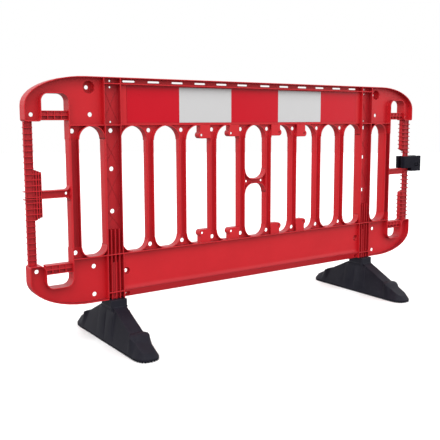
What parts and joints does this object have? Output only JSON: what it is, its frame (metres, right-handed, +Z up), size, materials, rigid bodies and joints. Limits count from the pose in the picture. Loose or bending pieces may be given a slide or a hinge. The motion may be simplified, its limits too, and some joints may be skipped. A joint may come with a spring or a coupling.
{
  "type": "pedestrian barrier panel",
  "caption": "Red moulded pedestrian barrier panel with slotted infill, reflective upper board, swivelling black feet and a clip that links it to the next panel.",
  "frame": {"origin": "on the ground, under the middle of the part's overall box", "axes": "+X along the panel towards the end with the clip, +Y through the panel away from its front, +Z up"},
  "size_m": [2.076, 0.598, 1.002],
  "materials": {
    "panel_red": "moulded red plastic with a fine satin grain",
    "sheet_red": "red reflective sheet with a fine prismatic grain",
    "sheet_white": "silver-white reflective sheet with a fine prismatic grain",
    "foot_black": "black recycled plastic, matt and scuffed",
    "spigot_black": "black nylon",
    "clip_black": "black moulded nylon, satin"
  },
  "bodies": {
    "panel": {"upper_board": "panel_red", "lower_board": "panel_red", "left_post": "panel_red", "right_post": "panel_red", "baluster_1": "panel_red", "baluster_2": "panel_red", "baluster_3": "panel_red", "baluster_4": "panel_red", "baluster_5": "panel_red", "baluster_6": "panel_red", "baluster_7": "panel_red", "baluster_8": "panel_red", "centre_tie": "panel_red", "left_upper_corner": "panel_red", "left_lower_corner": "panel_red", "left_end_bar": "panel_red", "left_crossbar": "panel_red", "left_upper_link": "panel_red", "left_lower_link": "panel_red", "left_ribbed_bar": "panel_red", "right_upper_corner": "panel_red", "right_lower_corner": "panel_red", "right_end_bar": "panel_red", "right_crossbar": "panel_red", "right_upper_link": "panel_red", "right_lower_link": "panel_red", "right_ribbed_bar": "panel_red", "front_red_sheet_left": "sheet_red", "front_white_sheet_left": "sheet_white", "front_red_sheet_middle": "sheet_red", "front_white_sheet_right": "sheet_white", "front_red_sheet_right": "sheet_red", "rear_red_sheet_left": "sheet_red", "rear_white_sheet_left": "sheet_white", "rear_red_sheet_middle": "sheet_red", "rear_white_sheet_right": "sheet_white", "rear_red_sheet_right": "sheet_red"},
    "left_swivel_foot": {"left_foot": "foot_black", "left_spigot": "spigot_black"},
    "right_swivel_foot": {"right_foot": "foot_black", "right_spigot": "spigot_black"},
    "clip": {"link_clip": "clip_black"}
  },
  "joints": [
    {"name": "left_foot_swivel", "type": "hinge", "parent": "panel", "child": "left_swivel_foot", "pos_m": [-0.7065, 0, 0.169], "axis": [0, 0, 1], "range_deg": [-90, 90]},
    {"name": "right_foot_swivel", "type": "hinge", "parent": "panel", "child": "right_swivel_foot", "pos_m": [0.6275, 0, 0.169], "axis": [0, 0, 1], "range_deg": [-90, 90]},
    {"name": "clip_swing", "type": "hinge", "parent": "panel", "child": "clip", "pos_m": [0.9395, 0, 0.62005], "axis": [0, 0, 1], "range_deg": [-90, 90]}
  ]
}
